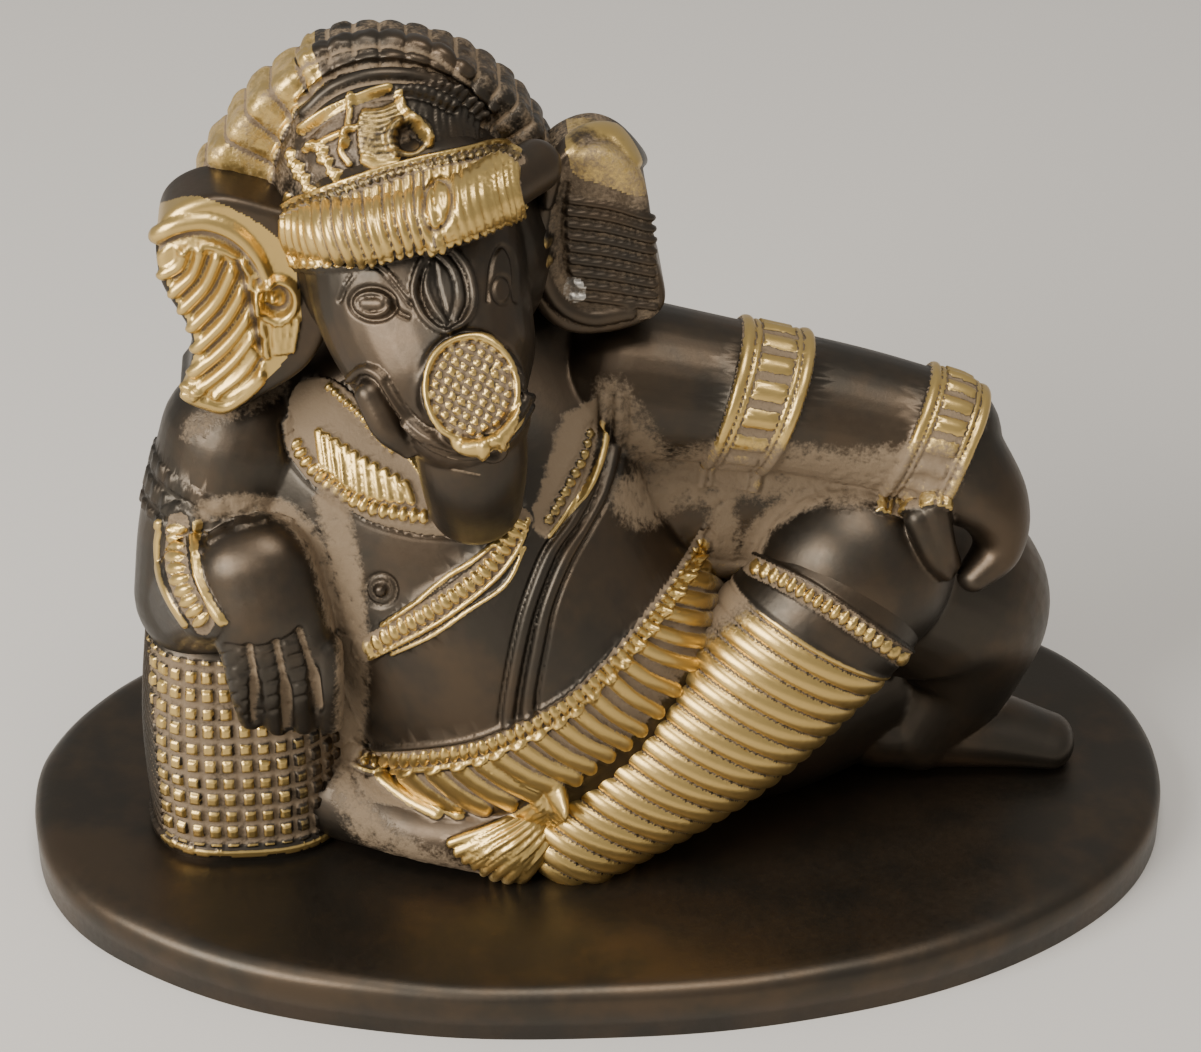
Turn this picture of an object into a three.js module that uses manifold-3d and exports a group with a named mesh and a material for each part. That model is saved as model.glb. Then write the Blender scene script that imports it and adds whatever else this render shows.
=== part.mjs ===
// A small cast brass figure: an elephant-headed figure reclining against a bolster on a low oval
// base, one arm laid over a raised knee. Figure and base are one casting, so there is one mesh.
// Millimetres, +Z up, +X to the right of someone facing the figure, which looks towards -Y.
// The origin is the centre of the base's underside.

import * as THREE from 'three';
import { mergeVertices } from 'three/addons/utils/BufferGeometryUtils.js';
import Module from 'manifold-3d';

const wasm = await Module();
wasm.setup();
const { Manifold, Mesh } = wasm;

// Driving dimensions
const BASE = { halfLength: 55, halfDepth: 33.5, height: 5.2, squareness: 2.15, edge: 1.5 };
const BED = BASE.height - 0.6; // forms that rest on the base start this high, sunk into it
const HEAD = { x: -15.5, y: -5.5, z: 66.5, roll: -13 };
const BRIM = { x: -19.2, z: 68.6, radius: 15.6, front: -4.5, back: 1.5, dip: 0.95 };

// A three.js geometry as a manifold solid
function solid(geometry) {
  const bare = geometry.clone();
  bare.deleteAttribute('normal');
  bare.deleteAttribute('uv');
  const merged = mergeVertices(bare, 1e-5);
  return new Manifold(new Mesh({
    numProp: 3,
    vertProperties: new Float32Array(merged.attributes.position.array),
    triVerts: new Uint32Array(merged.index.array),
  }));
}

// An ellipsoid, rolled about Y by roll degrees; its rear half is back times as deep
function ball([x, y, z], [rx, ry, rz], { roll = 0, sides = 12, rings = 7, back = 1 } = {}) {
  const shape = new THREE.SphereGeometry(1, sides, rings);
  shape.rotateX(Math.PI / 2);
  const spot = shape.attributes.position;
  for (let i = 0; i < spot.count; i += 1) {
    const depth = spot.getY(i);
    spot.setY(i, depth > 0 ? depth * back : depth);
  }
  shape.scale(rx, ry, rz);
  shape.rotateY(THREE.MathUtils.degToRad(roll));
  shape.translate(x, y, z);
  return solid(shape);
}

// A point on a unit circle, squared towards a box as squareness goes above 2
function section(angle, squareness) {
  const round = (v) => Math.sign(v) * Math.abs(v) ** (2 / squareness);
  return [round(Math.cos(angle)), round(Math.sin(angle))];
}

// A limb through stations [x, y, z, half width seen from the front, half depth]. swell(t, angle)
// scales its section. Its ends are round, with bulge below 1 flatter than that.
function limb(stations, { sides = 10, steps = 4, cap = 2, swell = () => 1, squareness = 2, bulge = 1 } = {}) {
  const spine = new THREE.CatmullRomCurve3(stations.map(([x, y, z]) => new THREE.Vector3(x, y, z)));
  const sizes = new THREE.CatmullRomCurve3(stations.map(([, , , a, b]) => new THREE.Vector3(a, b, 0)));
  const shape = new THREE.CapsuleGeometry(1, 2, cap, sides, steps);
  const spot = shape.attributes.position;
  const depthWay = new THREE.Vector3(0, 1, 0);
  for (let i = 0; i < spot.count; i += 1) {
    const local = new THREE.Vector3().fromBufferAttribute(spot, i);
    const t = THREE.MathUtils.clamp((local.y + 1) / 2, 0, 1);
    const beyond = Math.abs(local.y) > 1 ? local.y - Math.sign(local.y) : 0;
    const point = spine.getPoint(t);
    const size = sizes.getPoint(t);
    const along = spine.getTangent(t);
    const wide = new THREE.Vector3().crossVectors(depthWay, along).normalize();
    const deep = new THREE.Vector3().crossVectors(wide, along);
    const angle = Math.atan2(local.z, local.x);
    const [across, inward] = section(angle, squareness);
    const scale = Math.hypot(local.x, local.z) * swell(t, angle);
    point.addScaledVector(wide, across * size.x * scale);
    point.addScaledVector(deep, inward * size.y * scale);
    point.addScaledVector(along, beyond * bulge * Math.min(size.x, size.y));
    spot.setXYZ(i, point.x, point.y, point.z);
  }
  return solid(shape);
}

// A plate with its outline in the front view, from y = front to y = back, its edges bevelled
function plate(points, front, back, bevel, rounds = 2) {
  const curve = new THREE.CatmullRomCurve3(points.map(([x, z]) => new THREE.Vector3(x, z, 0)), true);
  const outline = new THREE.Shape(curve.getPoints(points.length * rounds).slice(0, -1)
    .map((p) => new THREE.Vector2(p.x, p.y)));
  const shape = new THREE.ExtrudeGeometry(outline, {
    depth: back - front - 2 * bevel,
    bevelThickness: bevel, bevelSize: bevel, bevelOffset: -bevel, bevelSegments: 1, curveSegments: 1,
  });
  shape.rotateX(Math.PI / 2);
  shape.translate(0, back - bevel, 0);
  return solid(shape);
}

function bufferGeometry(manifold) {
  const mesh = manifold.getMesh();
  const geometry = new THREE.BufferGeometry();
  geometry.setAttribute('position', new THREE.Float32BufferAttribute(mesh.vertProperties, 3));
  geometry.setIndex(new THREE.Uint32BufferAttribute(mesh.triVerts, 1));
  geometry.computeVertexNormals();
  return geometry;
}

// A raised line laid on a form: points [x, z] in the front view are dropped onto its face, and those
// that run past its edge are left out. With beads its thickness swells that many times along it.
function strand(form, points, radius, { beads = 0, depth = 0.22, sides = 4, steps = 5, proud = 0 } = {}) {
  const face = new THREE.Mesh(bufferGeometry(form));
  const line = new THREE.SplineCurve(points.map(([x, z]) => new THREE.Vector2(x, z)));
  const stations = line.getPoints(Math.max(steps, points.length)).flatMap(({ x, y: z }) => {
    const eye = new THREE.Raycaster(new THREE.Vector3(x, -90, z), new THREE.Vector3(0, 1, 0));
    return eye.intersectObject(face).slice(0, 1).map(({ point }) => [x, point.y - proud, z, radius, radius]);
  });
  const swell = beads ? (t) => 1 - depth * Math.cos(t * beads * 2 * Math.PI) : () => 1;
  return limb(stations, { sides, steps: beads ? 2 * beads : steps, cap: 1, swell });
}

// The oval base: a low plate, a little squarer than an ellipse, its upper edge bevelled
function base() {
  const { halfLength, halfDepth, height, squareness, edge } = BASE;
  const profile = [[0, 0], [1, 0], [1, height - edge], [1 - edge / halfDepth, height], [0, height]];
  const shape = new THREE.LatheGeometry(profile.map(([r, z]) => new THREE.Vector2(r, z)), 40);
  shape.rotateX(Math.PI / 2);
  const spot = shape.attributes.position;
  for (let i = 0; i < spot.count; i += 1) {
    const [x, y] = [spot.getX(i), spot.getY(i)];
    const [across, deep] = section(Math.atan2(y, x), squareness);
    const reach = Math.hypot(x, y);
    spot.setXYZ(i, across * reach * halfLength, deep * reach * halfDepth, spot.getZ(i));
  }
  return solid(shape);
}

// A round cushion stood on end, cut all over in a square net that leaves small bosses
function bolster() {
  const columns = 9;
  const rows = 5;
  const boss = 0.045;
  const net = (t, angle) => {
    const outAcross = Math.cos(angle * columns) > 0;
    const outAlong = Math.cos(t * rows * 2 * Math.PI) < 0;
    return outAcross && outAlong ? 1 + boss : 1;
  };
  return limb([
    [-34, -3, BED, 9.2, 9.3], [-34, -3, BED + 12, 9.4, 9.3], [-33.6, -2.6, BED + 22, 8.8, 8.8],
  ], { sides: 2 * columns, steps: 2 * rows, cap: 1, squareness: 2.8, swell: net, bulge: 0.3 });
}

function torso() {
  const trunkOfBody = limb([
    [-18, -0.5, 50, 17.5, 8], [-15.5, -4, 42, 18.5, 10.5], [-10.5, -5.5, 32, 17, 13],
    [-5.5, -6, 22, 18, 13], [2, -5, 14, 16, 10],
  ], { sides: 18, steps: 6, cap: 2 });
  const hips = ball([5, 3, 16], [18, 12, 13], { sides: 10, rings: 6 });
  return trunkOfBody.add(hips);
}

// Necklace, chest band, cord over the shoulder, and the pleated skirt under its beaded belt
function torsoCarving(form) {
  const necklace = strand(form, [[-29, 50], [-25.5, 45.5], [-21, 43.2], [-15, 42.2], [-9, 43.6], [-4, 47.5],
    [-1.5, 53]], 1);
  const collar = strand(form, [[-26, 52], [-23, 48.6], [-18, 46.4], [-12, 46.2], [-7, 48.5], [-4, 52]], 1.1);
  const chestBand = strand(form, [[-7.7, 44], [-10, 40.8], [-14.4, 37.2], [-18.9, 33.7], [-23, 30.5]], 0.9,
    { beads: 6 });
  const cord = strand(form, [[0.6, 52], [-0.8, 46.5], [-4.7, 40.4], [-8, 33.8], [-9, 26]], 0.8);
  const belt = strand(form, [[-22, 17.2], [-17.6, 18], [-12.1, 20.2], [-6.8, 24], [-2.2, 27.9], [2.4, 32.1],
    [6.3, 34.8], [9.4, 37]], 1, { beads: 14 });
  const nipple = ball([-20.5, -15.6, 37.2], [1.4, 0.8, 1.4], { sides: 6, rings: 4 });
  return [necklace, collar, chestBand, cord, belt, nipple];
}

function skirt(form) {
  const waist = new THREE.SplineCurve([[-21.5, 16.4], [-17.6, 17], [-12.1, 19], [-6.8, 22.8], [-2.2, 26.6],
    [2.4, 30.6], [6.3, 33.6]].map(([x, z]) => new THREE.Vector2(x, z)));
  const hem = new THREE.SplineCurve([[-19, 11.5], [-13.5, 10.4], [-8, 12], [-3, 16.4], [1.4, 21.6],
    [6, 26.8], [9, 31.6]].map(([x, z]) => new THREE.Vector2(x, z)));
  const pleats = 10;
  return Array.from({ length: pleats }, (_, i) => {
    const t = (i + 0.5) / pleats;
    const top = waist.getPoint(t);
    const foot = hem.getPoint(t);
    return strand(form, [[top.x, top.y], [foot.x, foot.y]], 1.1, { sides: 4, steps: 1, proud: 0.1 });
  });
}

function restingArm() { // its elbow on the bolster, the hand hanging over its front
  const upper = limb([[-32.5, -3, 46, 7.3, 7.3], [-35.3, -4, 38, 6.8, 7], [-36.6, -5, 31, 6.5, 6.5]],
    { steps: 3, cap: 1 });
  const fore = limb([[-36.6, -5, 31.5, 6, 6.5], [-34, -11, 35.5, 5.8, 5.5]], { steps: 2 });
  const hand = limb([[-31.3, -12.5, 38.5, 5.4, 4.5], [-30.4, -14, 34.5, 5.4, 4.4],
    [-29.8, -14.6, 31, 5.2, 3.6]], { squareness: 2.4, steps: 3, cap: 1 });
  const fingers = [0, 1, 2, 3].map((i) => limb([
    [-33.3 + i * 2.6, -15.8, 31.6, 1.5, 1.9], [-33 + i * 2.5, -16.2, 28.5, 1.45, 1.9],
    [-32.6 + i * 2.35, -14.8, 24 - (i === 0 ? 0 : 0.8), 1.3, 1.6],
  ], { sides: 6, steps: 2, cap: 1 }));
  const bracelet = limb([[-36.5, -8.5, 41.4, 2.2, 2.2], [-37.6, -11.5, 37.5, 2.4, 2.4],
    [-37, -12, 33, 2.2, 2.2]], { sides: 6, steps: 3, cap: 1 });
  const form = Manifold.union([upper, fore, hand]);
  const armlet = strand(form, [[-41.4, 43.5], [-38, 43], [-34.2, 41.5]], 0.8, { steps: 3 });
  return [form, bracelet, armlet, ...fingers];
}

// Straight out over the raised knee with an armlet and a bracelet, the hand hooked down past it
function layingArm() {
  const bands = [[0.34, 0.47], [0.78, 0.9]];
  const swell = (t) => (bands.some(([from, to]) => t > from && t < to) ? 1.09 : 1);
  const arm = limb([[2, -2, 50.3, 7.4, 7.2], [12, -3, 48.9, 6.5, 6.5], [22, -4, 46.8, 6.2, 6.2],
    [30, -5.5, 45, 5.9, 5.9]], { sides: 10, steps: 13, cap: 1, swell });
  const hand = limb([[31, -7, 43.5, 5.5, 5], [34.8, -8.5, 39.5, 3.6, 4.5], [35.4, -10, 36, 2.3, 3],
    [33, -11.5, 33.6, 1.4, 1.8]], { sides: 9, steps: 5 });
  const fingers = [0, 1].map((i) => limb([[29 - i * 1.4, -11.8, 41.5 - i, 1.4, 1.6],
    [30 - i * 0.8, -12.2, 37.6 - i, 1.2, 1.4], [31 - i * 0.5, -11.6, 35.4 - i, 0.9, 1.1]],
  { sides: 6, steps: 2, cap: 1 }));
  return [arm, hand, ...fingers];
}

// The thigh in a close-pleated cloth that ends in a cuff below the bare knee; calf and foot behind
function raisedLeg() {
  const pleats = 10;
  const cloth = (t) => (t > 0.02 && t < 0.93 ? 1 + 0.05 * Math.cos(t * pleats * 2 * Math.PI) : 0.97);
  const thigh = limb([[-3, -12.5, 8.5, 6, 6.5], [9.5, -11, 18, 7.9, 7.7], [21, -8.5, 29.5, 8.6, 8]],
    { sides: 11, steps: 2 * pleats, cap: 1, swell: cloth });
  const cuff = strand(thigh, [[14.5, 35.6], [17.5, 32.6], [21.4, 28.6], [25.2, 24.4]], 1.1, { beads: 8 });
  const knee = ball([22.8, -6.5, 32], [9.4, 8.5, 9.3], { sides: 12, rings: 8 });
  const calf = limb([[24, -3, 30, 8, 8], [33, 0.5, 23.6, 9.8, 9.5], [34, 1, 16, 7.2, 7.4],
    [31, 0, 9.5, 5, 5.6]], { sides: 12, steps: 5, cap: 1 });
  const foot = limb([[27, 0, 9.5, 4.5, 5], [37, -0.5, 8.5, 3.6, 4.6], [44, -1.5, 7.2, 2.4, 3.6]],
    { steps: 3 });
  return [thigh, cuff, knee, calf, foot];
}

function foldedLeg() { // behind, flat on the base
  const thigh = limb([[4, 8, 13, 8.5, 8.5], [18, 14, 12, 8, 7.5], [31, 16, 10.5, 6, 6]], { steps: 4 });
  const shin = limb([[31, 16, 9, 5, 5], [20, 21, 8, 4.2, 4.2], [8, 23, 7.2, 3.4, 3.4]],
    { sides: 9, steps: 4 });
  return [thigh, shin];
}

function fillets() { // metal left between the limbs, as cast
  return [
    limb([[-2, -2, 37, 9, 6], [9, -1.5, 37.5, 9, 5], [20, -2.5, 38.5, 8, 4.5], [28, -4, 39.5, 5, 4]],
      { sides: 8, steps: 3, cap: 1 }),
    limb([[-25, -1, 8, 7, 7], [-24, -0.5, 22, 8, 7.5], [-26, -1, 37, 8, 6.5]], { sides: 8, steps: 2, cap: 1 }),
    limb([[-26, -6, 9, 5, 5], [-17, -11, 8.5, 3.6, 5], [-9, -12.5, 8.5, 5, 6]], { steps: 4 }),
    limb([[2, -6, 9, 6, 5], [16, -3, 12, 8, 5], [26, 0, 16, 9, 5]], { steps: 3 }),
  ];
}

function head() {
  const { x, y, z, roll } = HEAD;
  const skull = ball([x - 0.5, y, z], [11.5, 10.5, 12], { roll, sides: 12, rings: 6 });
  const face = limb([[x - 1.2, y - 2.5, z + 4, 9.4, 8], [x - 0.4, y - 6.5, z - 1.5, 9.2, 8],
    [x + 1.6, y - 11, z - 6.5, 7.6, 7.4], [x + 2.8, y - 13.5, z - 9, 5.4, 6]],
  { sides: 12, steps: 4, squareness: 2.4 });
  const trunk = limb([[x + 3, y - 13.5, z - 9, 4.9, 4.8], [x + 3.3, y - 13.5, z - 14, 4.7, 4.4],
    [x + 3.5, y - 10, z - 20, 4.2, 4]], { steps: 3 });
  const dome = ball([x - 2.5, y + 4.5, z + 3.3], [10.8, 12.5, 14],
    { roll: roll * 0.6, sides: 14, rings: 8, back: 0.6 });
  return Manifold.union([skull, face, trunk, dome]);
}

// Ribbed headband with a gem, a bead row above it, eyes, brow mark, trunk boss, lips and tusk
function headCarving(form) {
  const headband = strand(form, [[-27, 69.5], [-22, 72.6], [-17.5, 74], [-12.5, 75.2], [-8.2, 75.6]], 2.3,
    { beads: 9, depth: 0.1, sides: 6, proud: 0.2 });
  const beadRow = strand(form, [[-26.3, 74], [-21.6, 77.2], [-16, 79], [-9, 79.6]], 0.7);
  const gem = ball([-14.6, -17.4, 75], [1.2, 1, 2.1], { sides: 6, rings: 4 });
  const brow = ball([-14.1, -18.8, 69.2], [2.2, 1.2, 3.4], { roll: -20, sides: 8, rings: 5 });
  const eyes = [[-20.2, -17.9], [-8.9, -17.5]].map(([x, y]) => ball([x, y, 68.6], [1.9, 1, 1.2],
    { sides: 6, rings: 4 }));
  const boss = new THREE.CylinderGeometry(4.4, 4.6, 1.6, 12);
  boss.rotateX(THREE.MathUtils.degToRad(147));
  boss.translate(-12.2, -23.2, 62);
  const lip = strand(form, [[-22.2, 62.6], [-20.4, 62], [-18.4, 60], [-16.4, 57.4], [-13, 55.6]], 0.9);
  const tusk = limb([[-20.6, -21, 60.6, 1.3, 1.3], [-19.2, -22, 58, 1.4, 1.4], [-17.6, -22, 55.6, 0.7, 0.7]],
    { sides: 7, steps: 3, cap: 1 });
  return [headband, beadRow, gem, brow, ...eyes, solid(boss), lip, tusk];
}

// The flared rim of the headdress, standing round the dome, with ribs that run out like rays. Its
// upper left edge dips in a little, and its lower half is lower than it is wide.
function brim() {
  const { x, z, radius, front, back, dip } = BRIM;
  const sides = 24;
  const points = [];
  for (let i = 0; i < sides; i += 1) {
    const angle = (i / sides) * 2 * Math.PI;
    const wide = angle > 1.9 && angle < 2.7 ? radius * dip : radius;
    const tall = Math.sin(angle) > 0 ? wide : wide * 0.7;
    points.push([x + wide * Math.cos(angle), z + tall * Math.sin(angle)]);
  }
  const rays = 9;
  const ribs = Array.from({ length: rays }, (_, i) => {
    const angle = THREE.MathUtils.degToRad(6 + (168 * i) / (rays - 1));
    const at = (r) => [x + r * Math.cos(angle), front, z + r * Math.sin(angle), 0.9, 0.6];
    return limb([at(radius - 2.2 - (3 * i) / (rays - 1)), at(radius - 1.2)], { sides: 4, steps: 1, cap: 1 });
  });
  return [plate(points, front, back, 0.8, 1), ...ribs];
}

// Broad ears, each a thick leaf with a rolled rim and slanting ribs, a ring in the left one
function ears() {
  const left = plate([[-27, 72], [-33, 73.6], [-37.4, 71.4], [-38, 66], [-35.8, 60.5], [-36.2, 56.5],
    [-37, 54.6], [-33.5, 52.6], [-30.5, 53.8], [-25.5, 57.5], [-23.5, 64]], -10, -3, 0.8);
  const right = plate([[-7, 71], [-4, 74.8], [-0.3, 75.8], [3, 73], [4.2, 66], [5, 60.5], [1, 58.2],
    [-4, 58.5], [-7, 63]], -8, 0, 0.8);
  const rib = (form, points) => strand(form, points, 0.8, { steps: 1 });
  const leftRibs = [0, 1, 2, 3].map((i) => rib(left, [
    [-36.4 + i * 0.4, 66.6 - i * 3.4], [-32 + i * 0.8, 70.6 - i * 3.2]]));
  const rightRibs = [0, 1, 2, 3].map((i) => rib(right, [
    [-3.4, 70 - i * 3], [3.2, 70.2 - i * 3]]));
  const rims = [
    strand(left, [[-37, 70.6], [-33.6, 72.4], [-30, 70.4], [-28.4, 66.6]], 0.9),
    strand(left, [[-30, 66], [-29.2, 60], [-30.2, 55.6]], 0.8),
    strand(right, [[2.4, 73.4], [-1.5, 74], [-4.6, 71], [-5.2, 64]], 0.9),
  ];
  const ring = new THREE.TorusGeometry(1.5, 0.55, 4, 8);
  ring.rotateX(Math.PI / 2);
  ring.translate(-28.8, -10, 64);
  const knob = ball([-5.4, -8.6, 67.7], [1.2, 1.2, 1.2], { sides: 6, rings: 4 });
  return [left, right, ...leftRibs, ...rightRibs, ...rims, solid(ring), knob];
}

const body = torso();
const skull = head();
const casting = Manifold.union([
  base(), bolster(), body, ...torsoCarving(body), ...skirt(body), ...restingArm(), ...layingArm(),
  ...raisedLeg(), ...foldedLeg(), ...fillets(), skull, ...headCarving(skull), ...brim(), ...ears(),
]);

const patinatedBrass = new THREE.MeshStandardMaterial({ color: 0x4a4033, roughness: 0.45, metalness: 0.85 });
const figure = new THREE.Mesh(bufferGeometry(casting), patinatedBrass);
figure.name = 'reclining_figure';

const model = new THREE.Group();
model.add(figure);
export default model;
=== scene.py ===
import math
import bmesh
import bpy
import numpy as np
from mathutils import Matrix, Vector, noise


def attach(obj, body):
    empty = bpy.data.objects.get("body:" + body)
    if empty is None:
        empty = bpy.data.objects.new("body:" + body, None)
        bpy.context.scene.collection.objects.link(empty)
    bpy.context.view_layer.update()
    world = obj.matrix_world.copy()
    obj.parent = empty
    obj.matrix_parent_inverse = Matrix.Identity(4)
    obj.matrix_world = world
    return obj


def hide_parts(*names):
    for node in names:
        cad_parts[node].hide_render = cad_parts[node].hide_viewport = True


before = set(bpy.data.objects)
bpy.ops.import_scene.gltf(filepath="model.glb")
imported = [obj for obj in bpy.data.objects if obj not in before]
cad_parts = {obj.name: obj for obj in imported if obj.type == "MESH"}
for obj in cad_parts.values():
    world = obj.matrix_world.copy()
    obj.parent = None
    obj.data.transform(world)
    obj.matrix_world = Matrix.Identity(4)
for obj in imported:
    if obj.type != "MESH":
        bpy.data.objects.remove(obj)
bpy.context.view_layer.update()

# The patinated brass of the whole casting: dark brown metal, rubbed to bright brass on the raised
# carving, with dry earth in the hollows. How far each place is rubbed or dirty is kept on the mesh
# of each piece, in the attributes gold, dirt and pale. On the right ear, gold also holds painted
# light and shade: brass painted on its lit top, and left off the rest, which the head shades.
DARK_PATINA = (0.058, 0.050, 0.040, 1)
BROWN_PATINA = (0.090, 0.066, 0.045, 1)
RUBBED_BRASS = (0.60, 0.42, 0.15, 1)
DRY_EARTH = (0.20, 0.145, 0.090, 1)
WORN_GREY = (0.52, 0.49, 0.44, 1)


def patinated_brass():
    mat = bpy.data.materials.new("patinated_brass")
    mat.use_nodes = True
    nodes, links = mat.node_tree.nodes, mat.node_tree.links
    shader = nodes["Principled BSDF"]
    place = nodes.new("ShaderNodeTexCoord")

    def cloud(scale, detail, rough=0.6):
        made = nodes.new("ShaderNodeTexNoise")
        made.inputs["Scale"].default_value = scale
        made.inputs["Detail"].default_value = detail
        made.inputs["Roughness"].default_value = rough
        links.new(place.outputs["Object"], made.inputs["Vector"])
        return made.outputs["Fac"]

    def carried(name):
        made = nodes.new("ShaderNodeAttribute")
        made.attribute_name = name
        return made.outputs["Fac"]

    def calc(kind, a, b=0.0, c=0.0):
        made = nodes.new("ShaderNodeMath")
        made.operation = kind
        for socket, value in zip(made.inputs, (a, b, c)):
            if isinstance(value, (int, float)):
                socket.default_value = value
            else:
                links.new(value, socket)
        return made.outputs[0]

    def spread(value, low, high, to_low=0.0, to_high=1.0):
        made = nodes.new("ShaderNodeMapRange")
        made.interpolation_type = "SMOOTHSTEP"
        made.inputs["From Min"].default_value = low
        made.inputs["From Max"].default_value = high
        made.inputs["To Min"].default_value = to_low
        made.inputs["To Max"].default_value = to_high
        links.new(value, made.inputs["Value"])
        return made.outputs["Result"]

    def blend(amount, a, b):
        made = nodes.new("ShaderNodeMix")
        made.data_type = "RGBA"
        links.new(amount, made.inputs["Factor"])
        for socket, value in ((made.inputs["A"], a), (made.inputs["B"], b)):
            if isinstance(value, tuple):
                socket.default_value = value
            else:
                links.new(value, socket)
        return made.outputs["Result"]

    broad = cloud(90, 4)
    grain = cloud(1400, 6, 0.7)
    crumb = cloud(3200, 3, 0.6)
    gold = spread(calc("ADD", carried("gold"), calc("MULTIPLY_ADD", grain, 0.5, -0.25)), 0.35, 0.65)
    dirt = spread(calc("ADD", carried("dirt"), calc("MULTIPLY_ADD", crumb, 0.7, -0.35)), 0.30, 0.75)
    pale = spread(calc("ADD", carried("pale"), calc("MULTIPLY_ADD", grain, 0.8, -0.4)), 0.4, 0.7)
    patina = blend(spread(broad, 0.4, 0.65), DARK_PATINA, BROWN_PATINA)
    metal = blend(pale, blend(gold, patina, RUBBED_BRASS), WORN_GREY)
    links.new(blend(dirt, metal, DRY_EARTH), shader.inputs["Base Color"])
    links.new(calc("MULTIPLY_ADD", dirt, -0.9, 0.92), shader.inputs["Metallic"])
    worn = calc("MULTIPLY_ADD", gold, -0.08, 0.40)
    streaked = calc("ADD", worn, calc("MULTIPLY_ADD", grain, 0.20, -0.10))
    links.new(calc("MULTIPLY_ADD", dirt, 0.45, streaked), shader.inputs["Roughness"])
    bump = nodes.new("ShaderNodeBump")
    bump.inputs["Strength"].default_value = 0.35
    bump.inputs["Distance"].default_value = 0.0002
    links.new(calc("MULTIPLY", crumb, calc("MULTIPLY_ADD", dirt, 0.9, 0.12)), bump.inputs["Height"])
    links.new(bump.outputs["Normal"], shader.inputs["Normal"])
    return mat


brass = patinated_brass()


# The base: a low oval plate, a little squarer than an ellipse, cast in one with the figure. Its
# upper edge is bevelled and its lower edge is sharp. Sizes here and below are in millimetres.
BASE_LENGTH, BASE_DEPTH, BASE_HEIGHT = 110.0, 67.0, 5.2
BASE_SQUARENESS, BASE_EDGE = 2.15, 1.5
BED = BASE_HEIGHT - 0.6
MM = 0.001


def section(angle, squareness):
    """A point on a unit circle, squared towards a box as squareness goes above 2"""
    across, deep = math.cos(angle), math.sin(angle)
    power = 2 / squareness
    return (math.copysign(abs(across) ** power, across), math.copysign(abs(deep) ** power, deep))


def keep(mesh, name):
    """Puts a finished piece, made in millimetres, in its place on the frame"""
    mesh.transform(Matrix.Scale(MM, 4))
    mesh.shade_smooth()
    mesh.materials.clear()
    mesh.materials.append(brass)
    piece = bpy.data.objects.new(name, mesh)
    bpy.context.scene.collection.objects.link(piece)
    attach(piece, "root")
    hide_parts("reclining_figure")
    return piece


def base_plate():
    bm = bmesh.new()
    rim = BASE_DEPTH / 2
    inner = 1 - BASE_EDGE / rim
    profile = [(0.001, 0), (0.5, 0), (1, 0), (1, BASE_HEIGHT - BASE_EDGE)]
    profile += [(1 - (1 - inner) * (1 - math.cos(a)), BASE_HEIGHT - BASE_EDGE * (1 - math.sin(a)))
                for a in (0.4, 0.8, 1.2, math.pi / 2)]
    profile += [(inner * (1 - k / 40), BASE_HEIGHT) for k in range(1, 40)] + [(0.001, BASE_HEIGHT)]
    line = [bm.verts.new((r, 0, z)) for r, z in profile]
    edges = [bm.edges.new(pair) for pair in zip(line, line[1:])]
    bmesh.ops.spin(bm, geom=line + edges, cent=(0, 0, 0), axis=(0, 0, 1), angle=2 * math.pi,
                   steps=240, use_merge=True, use_duplicate=False)
    bmesh.ops.holes_fill(bm, edges=bm.edges, sides=0)
    for vert in bm.verts:
        angle = math.atan2(vert.co.y, vert.co.x)
        reach = math.hypot(vert.co.x, vert.co.y)
        across, deep = section(angle, BASE_SQUARENESS)
        uneven = 1 + 0.006 * noise.noise(Vector((3 * across, 3 * deep, 1)))
        lift = 0.12 * noise.noise(Vector((6 * across * reach, 6 * deep * reach, 4))) if vert.co.z > 1 else 0
        vert.co.x = across * reach * uneven * BASE_LENGTH / 2
        vert.co.y = deep * reach * uneven * BASE_DEPTH / 2
        vert.co.z += lift
    bmesh.ops.recalc_face_normals(bm, faces=bm.faces)
    mesh = bpy.data.meshes.new("base_plate")
    bm.to_mesh(mesh)
    bm.free()
    return keep(mesh, "base_plate")


base_plate()


# The bolster under the elbow: a round cushion stood on end, cast with the figure. It is cut all
# over in a square net that leaves small bosses, which are rubbed bright on the side in front.
VIEW_AZIMUTH, VIEW_ELEVATION, VIEW_DISTANCE = math.radians(-4.0), math.radians(32.9), 300.0
VIEW_TARGET = np.array([0, 0, 33.2])
VIEW_BACK = np.array([math.sin(VIEW_AZIMUTH) * math.cos(VIEW_ELEVATION),
                      -math.cos(VIEW_AZIMUTH) * math.cos(VIEW_ELEVATION), math.sin(VIEW_ELEVATION)])
VIEW_RIGHT = np.array([math.cos(VIEW_AZIMUTH), math.sin(VIEW_AZIMUTH), 0])
VIEW_UP = np.cross(VIEW_BACK, VIEW_RIGHT)
VIEW_EYE = VIEW_TARGET + VIEW_DISTANCE * VIEW_BACK
VOXEL = 0.2
MOST_TRIANGLES = 195000


def smooth_line(points, steps):
    """A smooth line through the points, at even steps from point to point"""
    given = np.array(points, float)
    if len(given) == 1:
        return np.repeat(given, steps, axis=0)
    p = np.vstack([2 * given[0] - given[1], given, 2 * given[-1] - given[-2]])
    t = np.linspace(0, len(given) - 1, steps)
    k = np.minimum(t.astype(int), len(given) - 2)
    u = (t - k)[:, None]
    a, b, c, d = p[k], p[k + 1], p[k + 2], p[k + 3]
    return 0.5 * (2 * b + (c - a) * u + (2 * a - 5 * b + 4 * c - d) * u ** 2 + (3 * b - a - 3 * c + d) * u ** 3)


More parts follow.
